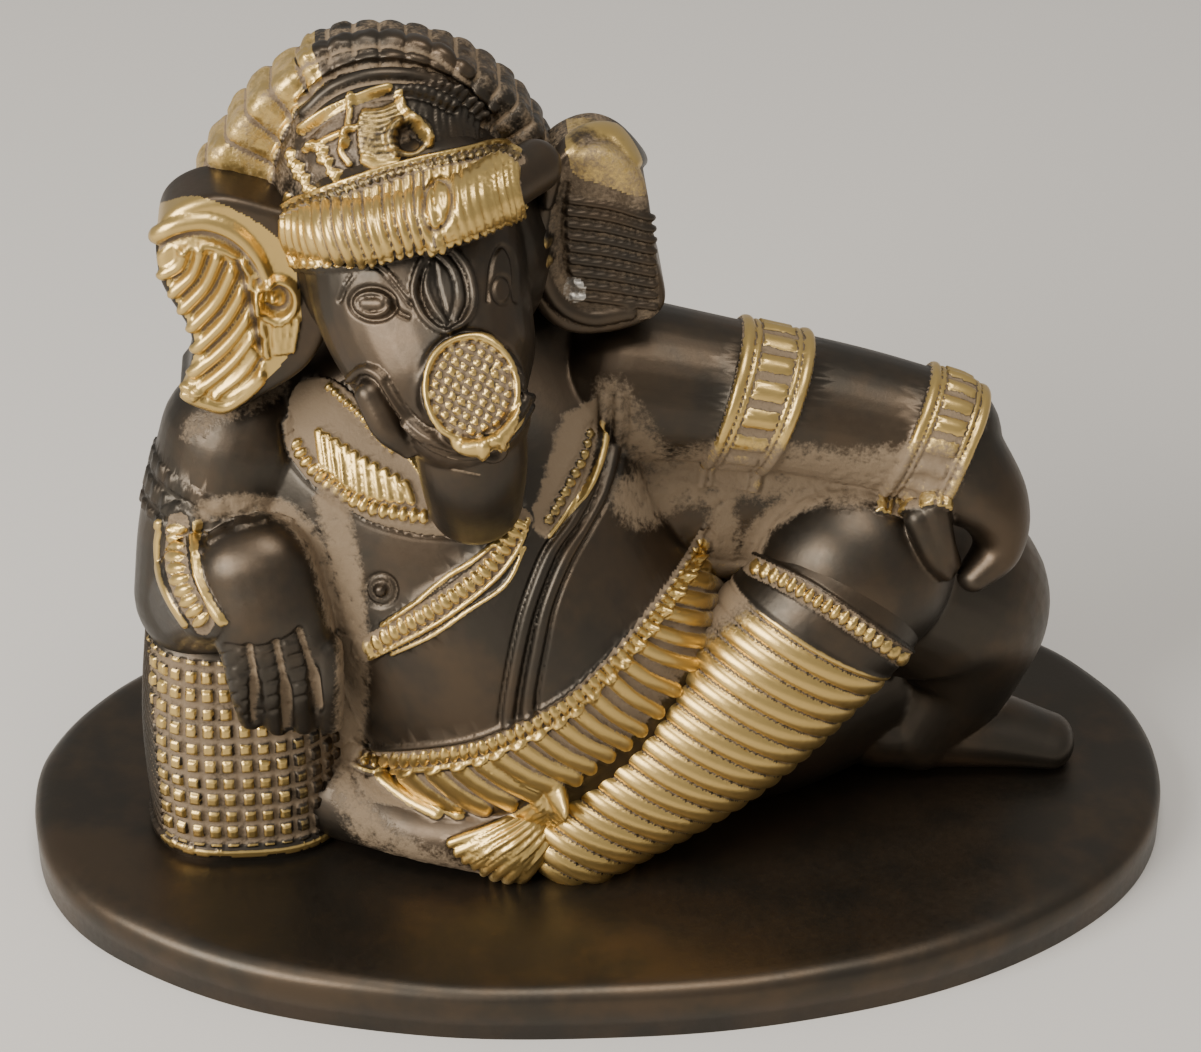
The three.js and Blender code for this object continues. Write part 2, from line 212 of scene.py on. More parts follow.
def limb(bm, stations, around=32, rows=48, squareness=2.0, bulge=1.0):
    """A limb through stations [x, y, z, half width seen from the front, half depth]"""
    fine = 400
    line = smooth_line(stations, fine)
    spine, sizes = line[:, :3], line[:, 3:]
    along = np.gradient(spine, axis=0)
    along /= np.linalg.norm(along, axis=1)[:, None]
    wide = np.cross((0, 1, 0), along)
    wide /= np.linalg.norm(wide, axis=1)[:, None]
    deep = np.cross(wide, along)
    cap = 0.16
    made = bmesh.ops.create_uvsphere(bm, u_segments=around, v_segments=rows, radius=1)
    for vert in made["verts"]:
        turn = math.acos(max(-1, min(1, -vert.co.z))) / math.pi
        t = min(max((turn - cap) / (1 - 2 * cap), 0), 1)
        end = (turn - cap) / cap if turn < cap else (turn - 1 + cap) / cap if turn > 1 - cap else 0
        scale = math.cos(end * math.pi / 2)
        beyond = math.sin(end * math.pi / 2) * bulge
        k = int(round(t * (fine - 1)))
        across, inward = section(math.atan2(-vert.co.y, vert.co.x), squareness)
        size = sizes[k]
        vert.co = (spine[k] + wide[k] * across * size[0] * scale + deep[k] * inward * size[1] * scale
                   + along[k] * beyond * min(size))


def ball(bm, centre, radii, roll=0.0, back=1.0, around=48, rows=32):
    """An ellipsoid, rolled about Y by roll degrees, its rear half back times as deep"""
    made = bmesh.ops.create_uvsphere(bm, u_segments=around, v_segments=rows, radius=1)
    turn = math.radians(roll)
    for vert in made["verts"]:
        x, y, z = vert.co.x * radii[0], vert.co.y * radii[1], vert.co.z * radii[2]
        if y > 0:
            y *= back
        vert.co = (centre[0] + x * math.cos(turn) + z * math.sin(turn), centre[1] + y,
                   centre[2] - x * math.sin(turn) + z * math.cos(turn))


def crumbs(at, scale):
    """Smooth seeded lumps from 0 to 1, with scale of them to a millimetre"""
    p = at * scale
    cell = np.floor(p).astype(np.int64)
    f = p - cell
    f = f * f * (3 - 2 * f)
    total = np.zeros(len(at))
    for corner in range(8):
        bit = np.array([corner & 1, corner >> 1 & 1, corner >> 2 & 1])
        q = cell + bit
        mixed = (q[:, 0] * 374761393 + q[:, 1] * 668265263 + q[:, 2] * 2147483647) & 0xFFFFFFFF
        mixed = ((mixed ^ (mixed >> 13)) * 1274126177) & 0xFFFFFFFF
        share = np.prod(np.where(bit, f, 1 - f), axis=1)
        total += share * ((mixed ^ (mixed >> 16)) & 0xFFFF) / 0xFFFF
    return total


class Skin:
    """The skin of one piece while it is carved: its points in millimetres, and what each carries"""

    def __init__(self, bm, voxel, melt):
        bmesh.ops.recalc_face_normals(bm, faces=bm.faces)
        rough = bpy.data.meshes.new("rough")
        bm.to_mesh(rough)
        bm.free()
        self.mesh = self.worked(rough, [("REMESH", {"mode": "VOXEL", "voxel_size": voxel, "adaptivity": 0}),
                                        ("SMOOTH", {"factor": 0.5, "iterations": melt})])
        count = len(self.mesh.vertices)
        self.at = np.zeros(count * 3, np.float32)
        self.mesh.vertices.foreach_get("co", self.at)
        self.at = self.at.reshape(-1, 3).astype(float)
        self.out = np.zeros(count * 3, np.float32)
        self.mesh.vertex_normals.foreach_get("vector", self.out)
        self.out = self.out.reshape(-1, 3).astype(float)
        self.height = np.zeros(count)
        self.gold = np.zeros(count)
        self.dirt = np.zeros(count)
        self.pale = np.zeros(count)
        ray = self.at - VIEW_EYE
        depth = -(ray @ VIEW_BACK)
        self.card = VIEW_DISTANCE * np.stack([ray @ VIEW_RIGHT, ray @ VIEW_UP], 1) / depth[:, None]
        self.faces_front = -(self.out * ray).sum(1) / np.linalg.norm(ray, axis=1)

    @staticmethod
    def worked(mesh, steps):
        """The mesh with these modifiers applied"""
        holder = bpy.data.objects.new("holder", mesh)
        bpy.context.scene.collection.objects.link(holder)
        for kind, values in steps:
            modifier = holder.modifiers.new(kind, kind)
            for key, value in values.items():
                setattr(modifier, key, value)
        graph = bpy.context.evaluated_depsgraph_get()
        done = bpy.data.meshes.new_from_object(holder.evaluated_get(graph))
        bpy.data.objects.remove(holder)
        bpy.data.meshes.remove(mesh)
        return done

    def near(self, points, reach, back=99.0):
        """The skin's points within reach of a line drawn on the card, with the length along the line
        and the distance to its left. Points that lie further back than y = back are left out."""
        line = smooth_line(points, 8 * len(points) + 1)
        low, high = line.min(0) - reach, line.max(0) + reach
        some = np.flatnonzero(((self.card > low) & (self.card < high)).all(1)
                              & (self.faces_front > 0) & (self.at[:, 1] < back))
        here = self.card[some]
        start, step = line[:-1], np.diff(line, axis=0)
        length = np.linalg.norm(step, axis=1)
        best = np.full(len(here), np.inf)
        place = np.zeros(len(here))
        side = np.zeros(len(here))
        run = 0.0
        for a, d, l in zip(start, step, length):
            u = np.clip(((here - a) @ d) / (l * l), 0, 1)
            gap = here - a - u[:, None] * d
            reachable = (gap ** 2).sum(1)
            closer = reachable < best
            best[closer] = reachable[closer]
            place[closer] = run + u[closer] * l
            side[closer] = np.sign(d[0] * gap[closer, 1] - d[1] * gap[closer, 0])
            run += l
        gap = np.sqrt(best)
        inside = gap < reach
        return some[inside], place[inside], (side * gap)[inside], run

    def groove(self, points, width, depth, dirt=0.8, back=99.0):
        """A cut line that has filled with dirt"""
        some, _, side, _ = self.near(points, width, back)
        cut = np.exp(-(side / (0.5 * width)) ** 2)
        self.height[some] -= depth * cut
        self.dirt[some] = np.maximum(self.dirt[some], dirt * cut)

    def ridge(self, points, width, height, gold=0.0, back=99.0):
        """A raised round line, rubbed bright along its top"""
        some, _, side, _ = self.near(points, width / 2, back)
        top = np.sqrt(np.clip(1 - (2 * side / width) ** 2, 0, 1))
        self.height[some] += height * top
        self.gold[some] = np.maximum(self.gold[some], gold * top ** 0.5)
        self.dirt[some] *= 1 - top

    def pearls(self, points, pitch, width, height, gold=0.0, dirt=0.8, back=99.0):
        """A row of round or oval beads in a sunk dirty strip"""
        some, along, side, run = self.near(points, width * 0.6, back)
        count = max(1, round(run / pitch))
        step = along * count / run
        x = 2 * (step - np.floor(step)) - 1
        round_top = np.sqrt(np.clip(1 - x ** 2 - (2 * side / width) ** 2, 0, 1))
        self.height[some] += height * round_top - 0.25 * height * (round_top == 0)
        self.gold[some] = np.maximum(self.gold[some], gold * (round_top > 0.15))
        self.dirt[some] = np.where(round_top > 0.3, 0, np.maximum(self.dirt[some], dirt))

    def fan(self, first, last, count, width, height, gold=0.0, bow=0.0, back=99.0):
        """Ridges that run from one line to another, count of them, each bowed sideways"""
        heads, feet = smooth_line(first, 200), smooth_line(last, 200)
        for i in range(count):
            k = int(199 * (i + 0.5) / count)
            way = feet[k] - heads[k]
            middle = (heads[k] + feet[k]) / 2 + bow * np.array([way[1], -way[0]]) / np.linalg.norm(way)
            self.ridge([heads[k], middle, feet[k]], width, height, gold, back)

    def within(self, outline, back=99.0, soft=0.0):
        """Which of the skin's points lie inside an outline drawn on the card"""
        line = smooth_line(list(outline) + [outline[0]], 6 * len(outline) + 1)
        x, y = self.card[:, 0], self.card[:, 1]
        inside = np.zeros(len(x), bool)
        for (x0, y0), (x1, y1) in zip(line, line[1:]):
            crosses = (y0 > y) != (y1 > y)
            inside ^= crosses & (x < (x1 - x0) * (y - y0) / (y1 - y0 + 1e-12) + x0)
        return inside & (self.faces_front > 0) & (self.at[:, 1] < back)

    def soil(self, points, reach, amount, back=99.0):
        """Dry earth caught along a line, thickest on it, with a crumbly surface"""
        some, _, side, _ = self.near(points, reach, back)
        thick = amount * np.clip(1 - (side / reach) ** 2, 0, 1)
        lumps = crumbs(self.at[some], 1.6) * 0.6 + crumbs(self.at[some], 3.5) * 0.4
        self.dirt[some] = np.maximum(self.dirt[some], thick * (0.55 + 0.9 * lumps))
        self.height[some] += thick * 0.25 * (lumps - 0.4)

    def around(self, stations, most=1.35):
        """The skin's points on one limb, with the length along it in mm and the turn about it"""
        fine = 160
        line = smooth_line(stations, fine)
        spine, sizes = line[:, :3], line[:, 3:]
        length = np.concatenate([[0], np.cumsum(np.linalg.norm(np.diff(spine, axis=0), axis=1))])
        best, k = np.full(len(self.at), np.inf), np.zeros(len(self.at), int)
        for i in range(fine):
            gap = ((self.at - spine[i]) ** 2).sum(1)
            closer = gap < best
            best[closer], k[closer] = gap[closer], i
        along = np.gradient(spine, axis=0)
        along /= np.linalg.norm(along, axis=1)[:, None]
        wide = np.cross((0, 1, 0), along)
        wide /= np.linalg.norm(wide, axis=1)[:, None]
        some = np.flatnonzero(np.sqrt(best) < most * sizes[k].max(1))
        k = k[some]
        away = self.at[some] - spine[k]
        extra = (away * along[k]).sum(1)
        turn = np.arctan2((away * np.cross(wide, along)[k]).sum(1), (away * wide[k]).sum(1))
        return some, length[k] + extra, turn

    def finish(self, name):
        moved = self.at + self.out * self.height[:, None]
        self.mesh.vertices.foreach_set("co", moved.astype(np.float32).ravel())
        for label in ("gold", "dirt", "pale"):
            made = self.mesh.attributes.new(label, "FLOAT", "POINT")
            made.data.foreach_set("value", np.clip(getattr(self, label), 0, 1).astype(np.float32))
        triangles = 2 * len(self.mesh.polygons)
        if triangles > MOST_TRIANGLES:
            self.mesh = self.worked(self.mesh, [("DECIMATE", {"ratio": MOST_TRIANGLES / triangles,
                                                              "use_collapse_triangulate": True})])
        return keep(self.mesh, name)


NET_PITCH, NET_ROW, BOSS_HEIGHT = 1.68, 1.9, 0.55
NET_CENTRE, NET_HALF = np.array([-34.0, -3.0]), 9.3


def net(skin):
    """Bosses left standing in a square net, on the upright side all round"""
    x, y = (skin.at[:, :2] - NET_CENTRE).T
    turn = np.arctan2(y, x)
    steps = np.linspace(-math.pi, math.pi, 721)
    ring = np.array([section(a, 2.8) for a in steps]) * NET_HALF
    length = np.concatenate([[0], np.cumsum(np.linalg.norm(np.diff(ring, axis=0), axis=1))])
    across = np.interp(turn, np.arctan2(ring[:, 1], ring[:, 0]), length) / NET_PITCH
    row = skin.at[:, 2] / NET_ROW
    gap = np.maximum(np.abs(across % 1 - 0.5), np.abs(row % 1 - 0.5)) * 2
    boss = np.clip((0.72 - gap) / 0.22, 0, 1)
    upright = np.clip((0.5 - np.abs(skin.out[:, 2])) / 0.2, 0, 1) * (skin.at[:, 2] > BED + 2.4)
    side = x < -NET_HALF * 0.86
    boss = np.where(side, 0.5 + 0.25 * np.sin((across * 3 + row * 5) * 2.2), boss) * upright
    skin.height += BOSS_HEIGHT * (boss - 0.6) * upright
    worn = np.clip(1.15 - np.abs(x + 3.0) / 12, 0, 1) * (y < 0) * ~side
    skin.gold = worn * (boss > 0.5)
    skin.dirt = upright * (boss < 0.4) * 0.85 * (0.6 + 0.5 * crumbs(skin.at, 1.2))
    foot = (skin.at[:, 2] > BED + 1.3) & (skin.at[:, 2] < BED + 2.1)
    skin.height += 0.35 * foot
    skin.gold = np.where(foot & (y < 0) & ~side, 0.8, skin.gold)


def bolster():
    bm = bmesh.new()
    limb(bm, [[-34, -3, BED, 9.2, 9.3], [-34, -3, BED + 12, 9.4, 9.3], [-33.6, -2.6, BED + 22, 8.8, 8.8]],
         around=64, squareness=2.8, bulge=0.3)
    skin = Skin(bm, VOXEL, 4)
    net(skin)
    return skin.finish("bolster")


bolster()


# The body, its four limbs and the metal left between them: one smooth dark form, with the
# jewellery, the belt and the pleated skirt carved on it and rubbed bright.
LAID_ARM = [[2, -2, 50.3, 7.4, 7.2], [12, -3, 48.9, 6.5, 6.5], [22, -4, 46.8, 6.2, 6.2],
            [30, -5.5, 45, 5.9, 5.9]]
RESTING_UPPER_ARM = [[-32.5, -3, 46, 7.3, 7.3], [-35.3, -4, 38, 6.8, 7], [-36.6, -5, 31, 6.5, 6.5]]
TORSO_BACK = 4.0


def necklace(skin):
    outer = [(-29.5, 9.5), (-28.9, 6.6), (-26.9, 4.0), (-23.8, 1.8), (-21.0, 0.3), (-17.7, -0.6), (-14.9, -0.9), (-12.7, -1.0)]
    field = outer + [(-12.5, -0.2), (-14.4, 2.0), (-16.3, 4.5), (-18.2, 7.1), (-21.0, 9.9), (-23.3, 12.5), (-25.7, 13.8), (-28.2, 13.0)]
    cloth = skin.within(field, TORSO_BACK)
    skin.dirt[cloth] = 0.75 + 0.3 * crumbs(skin.at[cloth], 2.0)
    skin.height[cloth] += 0.45
    skin.groove(outer, 0.8, 0.35, 0.2, TORSO_BACK)
    skin.pearls([(-28.4, 8.0), (-26.9, 5.7), (-24.4, 3.4), (-21.6, 1.9), (-18.7, 1.3), (-15.9, 0.9)], 0.95, 1.5, 0.55, 0.9, 0.85, TORSO_BACK)
    skin.fan([(-26.3, 8.8), (-24.8, 8.0), (-23.1, 6.9), (-21.3, 5.8), (-19.4, 4.8), (-17.6, 3.7)],
             [(-25.9, 5.6), (-24.2, 4.3), (-22.8, 3.4), (-20.9, 2.8), (-19.0, 2.6), (-17.0, 2.4)], 10, 1.0, 0.45, 1.0, 0, TORSO_BACK)
    skin.pearls([(-25.4, 13.2), (-23.5, 11.5), (-21.8, 9.8), (-20.2, 8.0), (-19.0, 6.9)], 0.75, 0.9, 0.4, 0.95, 0.8, TORSO_BACK)
    skin.ridge([(-18.3, 7.4), (-16.4, 4.8), (-14.4, 2.2)], 0.8, 0.4, 1.0, TORSO_BACK)
    right = [(-3.8, 10.1), (-1.0, 11.7), (0.2, 10.8), (0.3, 7.1), (-1.0, 3.4), (-3.2, 0.7), (-5.1, -1.3), (-6.6, 0.6), (-5.2, 5.2)]
    cloth = skin.within(right, TORSO_BACK)
    skin.dirt[cloth] = 0.7 + 0.3 * crumbs(skin.at[cloth], 2.0)
    skin.pearls([(-0.8, 9.1), (-1.5, 6.6), (-2.7, 4.3), (-4.1, 1.7), (-5.1, 0.2)], 0.95, 1.1, 0.4, 0.5, 0.85, TORSO_BACK)
    skin.ridge([(0.3, 9.9), (-0.0, 7.1), (-1.2, 3.9), (-3.2, 1.1), (-4.7, -0.9)], 0.7, 0.4, 0.75, TORSO_BACK)


def chest(skin):
    band = [(-7.5, 0.7), (-8.4, -0.9), (-9.6, -2.8), (-11.4, -4.7), (-13.8, -6.5), (-16.3, -8.1), (-18.9, -9.6), (-21.8, -11.4)]
    skin.ridge(band, 2.9, 0.35, 0.3, TORSO_BACK)
    skin.pearls(band, 0.92, 1.75, 0.5, 0.9, 0.9, TORSO_BACK)
    skin.ridge([(-6.8, 0.6), (-7.6, -1.9), (-9.2, -4.3), (-11.4, -6.3), (-14.2, -8.4), (-17.3, -10.2), (-21.3, -12.1)], 0.55, 0.4, 1.0, TORSO_BACK)
    skin.ridge([(-7.1, -2.0), (-8.8, -5.4), (-12.2, -7.8), (-15.7, -10.2), (-19.4, -11.9)], 0.45, 0.3, 0.8, TORSO_BACK)
    skin.ridge([(-9.5, -1.3), (-12.2, -3.4), (-14.4, -4.8), (-17.0, -6.9), (-20.2, -9.1)], 0.5, 0.35, 1.0, TORSO_BACK)
    strands = [[(0.3, 11.9), (0.1, 8.0), (-0.8, 4.1), (-2.5, 0.6), (-4.6, -2.4), (-6.4, -6.9), (-7.4, -10.6), (-8.3, -15.3), (-8.7, -18.2)],
               [(1.6, 11.9), (1.5, 8.0), (0.3, 3.4), (-1.4, 0.1), (-3.3, -3.2), (-5.0, -7.4), (-5.9, -11.5), (-6.6, -15.3), (-6.8, -17.5)]]
    for strand in strands:
        skin.ridge(strand, 1.1, 0.42, 0.12, TORSO_BACK)
        skin.groove([(u + 0.85, v) for u, v in strand], 0.45, 0.3, 0.35, TORSO_BACK)
    skin.groove([(u - 0.75, v) for u, v in strands[0]], 0.45, 0.3, 0.35, TORSO_BACK)
    ring = [(math.cos(a / 12 * math.tau), math.sin(a / 12 * math.tau)) for a in range(13)]
    middle = (-20.5, -6.0)
    skin.groove([(middle[0] + 1.45 * c, middle[1] + 1.45 * s) for c, s in ring], 0.5, 0.3, 0.4, TORSO_BACK)
    skin.groove([(middle[0] + 0.85 * c, middle[1] + 0.85 * s) for c, s in ring], 0.45, 0.25, 0.4, TORSO_BACK)
    skin.ridge([(middle[0] - 0.05, middle[1]), (middle[0] + 0.05, middle[1])], 1.1, 0.45, 0, TORSO_BACK)


BELT = [(-23.1, -21.0), (-21.3, -21.8), (-16.8, -21.6), (-12.2, -20.9), (-8.9, -19.7), (-5.2, -17.9), (-1.9, -15.7), (1.1, -12.8), (3.7, -9.9), (6.0, -6.9),
        (8.1, -3.9), (9.8, -1.1)]


def belt_and_skirt(skin):
    waist = [(u - 0.15, v - 1.55) for u, v in BELT]
    hem = [(-21.3, -25.5), (-16.3, -26.6), (-12.2, -26.6), (-7.5, -25.5), (-3.6, -24.2), (-0.8, -22.2), (2.3, -20.1), (5.1, -17.3), (8.3, -13.2), (11.3, -9.2),
           (13.2, -6.0), (13.9, -3.2)]
    cloth = skin.within(waist + hem[::-1], TORSO_BACK)
    skin.dirt[cloth] = 0.62 + 0.4 * crumbs(skin.at[cloth], 1.5)
    skin.ridge([(u, v + 1.1) for u, v in BELT], 0.6, 0.35, 0.1, TORSO_BACK)
    skin.pearls(BELT, 0.93, 1.5, 0.55, 0.95, 0.9, TORSO_BACK)
    skin.ridge([(u, v - 1.05) for u, v in BELT], 0.5, 0.35, 0.9, TORSO_BACK)
    skin.fan(waist[1:], hem[1:], 19, 1.55, 0.6, 1.0, 0.25, TORSO_BACK)
    fan_foot = [(-14.2, -29.1), (-12.9, -30.7), (-11.2, -31.7), (-9.4, -33.0), (-7.5, -34.1)]
    skin.fan([(-3.8, -24.2), (-3.6, -24.6), (-3.5, -25.0), (-3.5, -25.5)], fan_foot, 8, 1.0, 0.5, 1.0, -0.6, TORSO_BACK)


def arm_rings(skin):
    """Armlet and bracelet, each a toothed strip between two plain borders, all round the arm"""
    some, along, turn = skin.around(LAID_ARM)
    lean = along + 0.9 * np.cos(turn)
    for low, high, teeth, bright in ((8.6, 15.0, 16, 0.95), (25.6, 31.4, 18, 0.9)):
        middle, half = (low + high) / 2, (high - low) / 2
        x = (lean - middle) / half
        edge = np.clip(1 - ((np.abs(x) - 0.82) / 0.16) ** 2, 0, 1)
        inner = np.clip(1 - ((np.abs(x) - 0.56) / 0.08) ** 2, 0, 1)
        tooth = (np.abs(x) < 0.44) * np.clip(1.2 - np.abs((turn * teeth / math.tau % 1) - 0.5) * 3.2, 0, 1)
        raised = np.maximum(np.maximum(np.sqrt(edge), 0.6 * np.sqrt(inner)), 0.9 * np.sqrt(tooth))
        on = np.abs(x) < 1.0
        skin.height[some] += np.where(on, 0.15 + 0.45 * raised, 0)
        skin.gold[some] = np.where(on & (raised > 0.3), bright, skin.gold[some])
        skin.dirt[some] = np.where(on & (raised < 0.3), 0.75, skin.dirt[some])
    some, along, turn = skin.around(RESTING_UPPER_ARM)
    for k, (low, high) in enumerate(((3.0, 4.4), (5.0, 6.6), (7.2, 8.0))):
        on = (along > low) & (along < high)
        skin.height[some] += 0.3 * on * (0.7 + 0.3 * np.cos(turn * 26))
    bracelet = [(-39.2, 0.4), (-39.5, -1.9), (-39.2, -4.6), (-38.2, -6.9), (-36.9, -8.9)]
    skin.ridge(bracelet, 4.0, 0.5, 0.2)
    skin.pearls([(u + 0.2, v) for u, v in bracelet], 0.95, 1.7, 0.45, 0.95, 0.7)
    skin.ridge([(u - 1.5, v) for u, v in bracelet], 0.7, 0.35, 0.8)
    skin.ridge([(u + 1.9, v) for u, v in bracelet], 0.8, 0.35, 0.9)


def resting_hand(skin):
    knuckles = [(-34.9, -11.2), (-32.6, -11.5), (-30.2, -11.1), (-28.0, -9.9)]
    for top, foot in zip([(-32.8, -11.5), (-30.2, -11.1), (-27.9, -9.9)], [(-32.2, -18.2), (-29.1, -19.2), (-26.3, -16.9)]):
        skin.groove([top, ((top[0] + foot[0]) / 2 + 0.3, (top[1] + foot[1]) / 2), foot], 0.85, 0.55, 0.85)
    skin.groove(knuckles, 0.6, 0.3, 0.3)
    for i in range(4):
        for k in range(5):
            left = (knuckles[i][0] - 1.0 + 0.12 * k, knuckles[i][1] - 1.3 * (k + 1) + 0.3)
            skin.groove([left, (left[0] + 1.7, left[1] + 0.45)], 0.35, 0.16, 0.1)


def caught_earth(skin):
    skin.soil([(3.7, 2.4), (8.3, 4.5), (14.9, 5.2), (23.2, 4.5), (31.1, 5.2)], 4.0, 0.85)
    skin.soil([(1.1, 12.2), (3.7, 8.0), (5.5, 5.2), (9.3, 3.4)], 3.0, 0.7)
    skin.soil([(-25.2, 2.4), (-23.8, -3.2), (-23.1, -10.6), (-23.3, -18.1), (-23.8, -21.8)], 2.2, 0.9)
    skin.soil([(-36.8, 1.5), (-32.6, 2.0), (-28.9, 1.0), (-26.1, -3.2), (-24.7, -8.8)], 1.6, 0.8)
    skin.soil([(-23.8, -23.6), (-21.5, -28.3), (-14.9, -32.0), (-5.6, -35.3), (3.7, -34.8)], 2.6, 0.7)
    skin.soil([(13.5, -3.2), (15.8, 0.6), (21.4, 3.4), (27.9, 3.4)], 1.6, 0.9)
    skin.soil([(11.1, 2.4), (11.6, -3.2), (10.7, -10.6)], 2.4, 0.8)
    skin.soil([(-29.8, 13.1), (-31.7, 11.7), (-35.9, 10.3), (-38.2, 8.9)], 1.8, 0.55)


def body():
    bm = bmesh.new()
    limb(bm, [[-18, -0.5, 50, 17.5, 8], [-15.5, -4, 42, 18.5, 10.5], [-10.5, -5.5, 32, 17, 13],
              [-5.5, -6, 22, 18, 13], [2, -5, 14, 16, 10]], around=64)
    ball(bm, (5, 3, 16), (18, 12, 13))
    limb(bm, [[-32.5, -3, 46, 7.3, 7.3], [-35.3, -4, 38, 6.8, 7], [-36.6, -5, 31, 6.5, 6.5]])
    limb(bm, [[-36.6, -5, 31.5, 6, 6.5], [-34, -11, 35.5, 5.8, 5.5]])
    limb(bm, [[-31.3, -12.5, 38.5, 5.4, 4.5], [-30.4, -14, 34.5, 5.4, 4.4], [-29.8, -14.6, 31, 5.2, 3.6]],
         squareness=2.4)
    for i in range(4):
        limb(bm, [[-33.3 + i * 2.6, -15.8, 31.6, 1.5, 1.9], [-33 + i * 2.5, -16.2, 28.5, 1.45, 1.9],
                  [-32.6 + i * 2.35, -14.8, 24 - (0.8 if i else 0), 1.3, 1.6]], around=20, rows=24)
    limb(bm, [[2, -2, 50.3, 7.4, 7.2], [12, -3, 48.9, 6.5, 6.5], [22, -4, 46.8, 6.2, 6.2],
              [30, -5.5, 45, 5.9, 5.9]])
    limb(bm, [[31, -7, 43.5, 5.5, 5], [34.8, -8.5, 39.5, 3.6, 4.5], [35.4, -10, 36, 2.3, 3],
              [33, -11.5, 33.6, 1.4, 1.8]])
    for i in range(2):
        limb(bm, [[29 - i * 1.4, -11.8, 41.5 - i, 1.4, 1.6], [30 - i * 0.8, -12.2, 37.6 - i, 1.2, 1.4],
                  [31 - i * 0.5, -11.6, 35.4 - i, 0.9, 1.1]], around=20, rows=24)
    limb(bm, [[24, -3, 30, 8, 8], [33, 0.5, 23.6, 9.8, 9.5], [34, 1, 16, 7.2, 7.4], [31, 0, 9.5, 5, 5.6]])
    limb(bm, [[27, 0, 9.5, 4.5, 5], [37, -0.5, 8.5, 3.6, 4.6], [44, -1.5, 7.2, 2.4, 3.6]])
    limb(bm, [[4, 8, 13, 8.5, 8.5], [18, 14, 12, 8, 7.5], [31, 16, 10.5, 6, 6]])
    limb(bm, [[31, 16, 9, 5, 5], [20, 21, 8, 4.2, 4.2], [8, 23, 7.2, 3.4, 3.4]])
    limb(bm, [[-2, -2, 37, 9, 6], [9, -1.5, 37.5, 9, 5], [20, -2.5, 38.5, 8, 4.5], [28, -4, 39.5, 5, 4]])
    limb(bm, [[-25, -1, 8, 7, 7], [-24, -0.5, 22, 8, 7.5], [-26, -1, 37, 8, 6.5]])
    limb(bm, [[-26, -6, 9, 5, 5], [-17, -11, 8.5, 3.6, 5], [-9, -12.5, 8.5, 5, 6]])
    limb(bm, [[2, -6, 9, 6, 5], [16, -3, 12, 8, 5], [26, 0, 16, 9, 5]])
    ball(bm, (22.8, -6.5, 32), (9.4, 8.5, 9.3))
    skin = Skin(bm, VOXEL, 16)
    necklace(skin)
    chest(skin)
    belt_and_skirt(skin)
    arm_rings(skin)
    resting_hand(skin)
    caught_earth(skin)
    return skin.finish("body")


body()


# The raised thigh in its close-pleated cloth, cast with the body. The pleats run slantwise round the
# leg and end in a beaded cuff below the bare knee.
THIGH = [[-3, -12.5, 8.5, 6, 6.5], [9.5, -11, 18, 7.9, 7.7], [21, -8.5, 29.5, 8.6, 8]]
PLEAT_PITCH, PLEAT_HEIGHT = 1.82, 0.7
PLEAT_RUN = 0.85 * VIEW_RIGHT - 0.54 * VIEW_UP


def pleats(skin):
    axis = np.array(THIGH[2][:3]) - np.array(THIGH[0][:3])
    axis /= np.linalg.norm(axis)
    run = PLEAT_RUN / np.linalg.norm(PLEAT_RUN)
    across = axis - (axis @ run) * run
    across /= np.linalg.norm(across)
    place = (skin.at - THIGH[0][:3]) @ across
    step = place / PLEAT_PITCH
    x = np.abs(step % 1 - 0.5) * 2
    fold = np.sqrt(np.clip(1 - x ** 2.2, 0, 1))
    bare = np.clip((place - 27.6) / 0.6, 0, 1)
    beside = (skin.card - (3.7, -17.3)) @ np.array([0.56, -0.83])
    worn = np.clip(0.55 + (beside + 1.5) / 6, 0, 1)
    skin.height += (PLEAT_HEIGHT * (fold - 0.55) * (0.45 + 0.55 * worn)) * (1 - bare)
    skin.gold = (fold > 0.45) * worn * (1 - bare)
    skin.dirt = np.maximum(np.clip(1.25 - fold * 1.9, 0, 1), 1.1 - 1.3 * worn) * (1 - bare)
    cuff = [(14.1, -3.7), (17.2, -5.2), (20.9, -7.4), (24.6, -9.9), (28.4, -12.5)]
    skin.ridge([(u + 0.4, v + 0.9) for u, v in cuff], 0.7, 0.4, 0.2)
    skin.pearls(cuff, 0.95, 1.6, 0.6, 0.6, 0.85)


def raised_thigh():
    bm = bmesh.new()
    limb(bm, THIGH, around=64)
    skin = Skin(bm, VOXEL, 6)
    pleats(skin)
    return skin.finish("raised_thigh")


raised_thigh()


# The head: an elephant's face with a short hanging trunk, smooth and dark, under a ribbed headband.
HEAD = np.array([-15.5, -5.5, 66.5])
HEAD_ROLL = -13.0


def loop(centre, across, tall, turn=0.0, count=16):
    """A closed oval on the card, turned anticlockwise"""
    t = math.radians(turn)
    points = []
    for k in range(count + 1):
        a = math.tau * k / count
        u, v = across * math.cos(a), tall * math.sin(a)
        points.append((centre[0] + u * math.cos(t) - v * math.sin(t), centre[1] + u * math.sin(t) + v * math.cos(t)))
    return points


